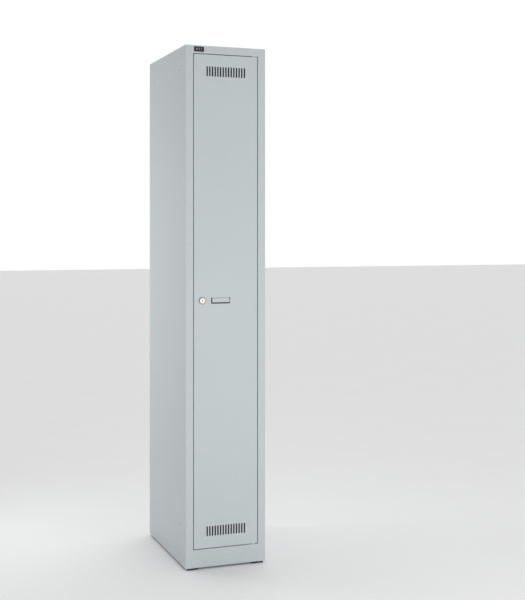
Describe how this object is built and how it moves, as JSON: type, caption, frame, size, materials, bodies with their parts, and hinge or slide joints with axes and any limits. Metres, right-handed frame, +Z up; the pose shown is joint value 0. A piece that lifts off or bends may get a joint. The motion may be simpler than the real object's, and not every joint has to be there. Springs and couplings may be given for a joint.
{
  "type": "locker cabinet",
  "caption": "Tall single-door sheet-steel clothes locker with vented flush door, pivot hinges, cam lock, pull flap, hat shelf, clothes rail and pad feet.",
  "frame": {"origin": "on the floor under the feet, in the middle of the overall width and depth", "axes": "+X to the right as seen from the door side, -Y out of the door, +Z up"},
  "size_m": [0.3, 0.5034, 1.857],
  "materials": {
    "paint": "light grey powder coat, satin, fine texture",
    "zinc": "zinc plated, satin",
    "chrome": "nickel plated, polished",
    "nylon": "natural nylon, matt",
    "rubber": "dark rubber, matt",
    "black_plastic": "black moulded plastic, matt",
    "black_plate": "black plate, semi gloss"
  },
  "bodies": {
    "casing": {"left_side_panel": "paint", "right_side_panel": "paint", "left_stile": "paint", "right_stile": "paint", "left_rear_flange": "paint", "right_rear_flange": "paint", "left_door_stop": "paint", "right_door_stop": "paint", "back_panel": "paint", "top_panel": "paint", "floor_panel": "paint", "header_rail": "paint", "plinth_rail": "paint", "rear_base_channel": "paint", "hat_shelf": "paint", "left_shelf_angle": "paint", "right_shelf_angle": "paint", "clothes_rail": "zinc", "left_rail_socket": "zinc", "right_rail_socket": "zinc", "left_coat_hook": "zinc", "right_coat_hook": "zinc", "upper_door_buffer": "rubber", "lower_door_buffer": "rubber", "name_plate": "black_plate", "front_left_foot": "black_plastic", "front_right_foot": "black_plastic", "rear_left_foot": "black_plastic", "rear_right_foot": "black_plastic", "front_left_foot_screw": "zinc", "front_right_foot_screw": "zinc", "rear_left_foot_screw": "zinc", "rear_right_foot_screw": "zinc", "upper_pivot_pin": "zinc", "lower_pivot_pin": "zinc"},
    "door": {"upper_pivot_bush": "nylon", "lower_pivot_bush": "nylon", "upper_hinge_plate": "paint", "lower_hinge_plate": "paint", "door_skin": "paint", "door_stiffener": "paint", "pull_cup": "black_plastic", "lock_housing": "chrome", "lock_washer": "zinc", "lock_nut": "zinc"},
    "lock": {"lock_plug": "chrome", "lock_cam": "zinc", "cam_screw": "zinc"}
  },
  "joints": [
    {"name": "door_swing", "type": "hinge", "parent": "casing", "child": "door", "pos_m": [0.1064, -0.24025, 0.95], "axis": [0, 0, 1], "range_deg": [0, 110]},
    {"name": "lock_turn", "type": "hinge", "parent": "door", "child": "lock", "pos_m": [-0.088, -0.23125, 0.952], "axis": [0, 1, 0], "range_deg": [0, 90]}
  ]
}
